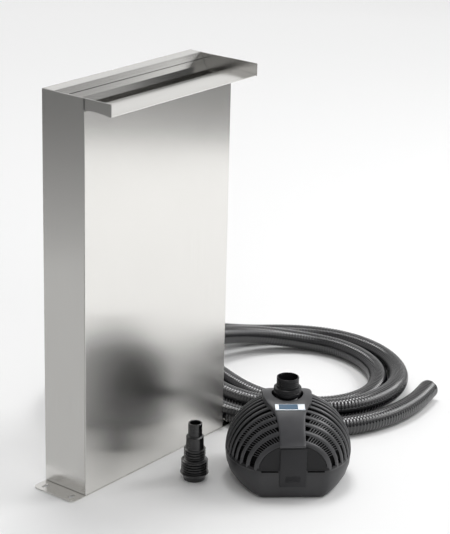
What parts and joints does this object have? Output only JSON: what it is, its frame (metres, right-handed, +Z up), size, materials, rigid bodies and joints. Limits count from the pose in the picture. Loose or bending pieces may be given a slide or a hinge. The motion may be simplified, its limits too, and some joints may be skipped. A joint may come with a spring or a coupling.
{
  "type": "waterfall column kit",
  "caption": "Free-standing brushed stainless waterfall column with a spout slot, a domed submersible pump, a spiral hose and a stepped hose adapter.",
  "frame": {"origin": "centre of the column's base, on the surface it stands on", "axes": "+Z up; the spout pours towards -Y; +X to the right seen from the front"},
  "size_m": [0.7645, 0.5771, 0.6],
  "materials": {
    "brushed_steel": "brushed, satin",
    "screw_steel": "bright",
    "hose_pvc": "glossy black with moulded spiral ribs",
    "pump_plastic": "satin moulded",
    "strap_plastic": "fine satin",
    "fitting_plastic": "satin",
    "badge_film": "plain printed film",
    "rubber": "matte",
    "ceramic": "polished ceramic",
    "impeller_plastic": "moulded",
    "rotor_sleeve": "smooth sleeve"
  },
  "bodies": {
    "root": {"base_plate": "brushed_steel", "front_panel": "brushed_steel", "rear_casing": "brushed_steel", "top_cover_baffle": "brushed_steel", "spout_lip": "brushed_steel", "left_cheek": "brushed_steel", "right_cheek": "brushed_steel", "overflow_tank": "brushed_steel", "tank_socket": "fitting_plastic", "tank_socket_nut": "fitting_plastic", "riser_pipe": "fitting_plastic", "inlet_elbow": "fitting_plastic", "inlet_socket": "fitting_plastic", "inlet_gasket": "rubber", "inlet_locknut": "fitting_plastic", "hose": "hose_pvc"},
    "pump": {"pump_lower_shell": "pump_plastic", "pump_foot_1": "rubber", "pump_foot_2": "rubber", "pump_foot_3": "rubber", "pump_foot_4": "rubber", "volute_housing": "pump_plastic", "suction_cover": "pump_plastic", "cover_screw_1": "screw_steel", "cover_screw_2": "screw_steel", "cover_screw_3": "screw_steel", "cover_screw_4": "screw_steel", "motor_housing": "pump_plastic", "front_bearing": "ceramic", "rear_bearing": "ceramic", "motor_seal": "rubber", "motor_saddle": "pump_plastic", "cable_gland": "rubber"},
    "cage": {"strainer_cage": "pump_plastic", "carrying_strap": "strap_plastic", "strap_badge": "badge_film"},
    "latch": {"front_latch": "pump_plastic"},
    "outlet": {"outlet_nozzle": "fitting_plastic"},
    "collar": {"union_collar": "fitting_plastic"},
    "rotor": {"motor_shaft": "screw_steel", "rotor_magnet": "rotor_sleeve", "impeller": "impeller_plastic"},
    "adapter": {"hose_adapter": "fitting_plastic"}
  },
  "joints": [
    {"name": "pump_lift", "type": "slide", "parent": "root", "child": "pump", "axis": [0, 0, 1], "range_m": [0, 0.2]},
    {"name": "cage_lift", "type": "slide", "parent": "pump", "child": "cage", "axis": [0, 0, 1], "range_m": [0, 0.08]},
    {"name": "latch_hinge", "type": "hinge", "parent": "cage", "child": "latch", "pos_m": [0.03351, -0.27194, 0.081], "axis": [-0.6717, 0.7408, 0], "range_deg": [0, 20], "stiffness_Nm_per_rad": 0.05},
    {"name": "outlet_tilt", "type": "hinge", "parent": "pump", "child": "outlet", "pos_m": [0.09031, -0.21504, 0.113], "axis": [0.6717, -0.7408, 0], "range_deg": [-6, 6]},
    {"name": "collar_spin", "type": "hinge", "parent": "outlet", "child": "collar", "pos_m": [0.09031, -0.21504, 0.14], "axis": [0, 0, 1], "continuous": true},
    {"name": "rotor_spin", "type": "hinge", "parent": "pump", "child": "rotor", "pos_m": [0.09031, -0.21504, 0.058], "axis": [0.7408, 0.6717, 0], "continuous": true},
    {"name": "adapter_lift", "type": "slide", "parent": "root", "child": "adapter", "axis": [0, 0, 1], "range_m": [0, 0.15]}
  ]
}
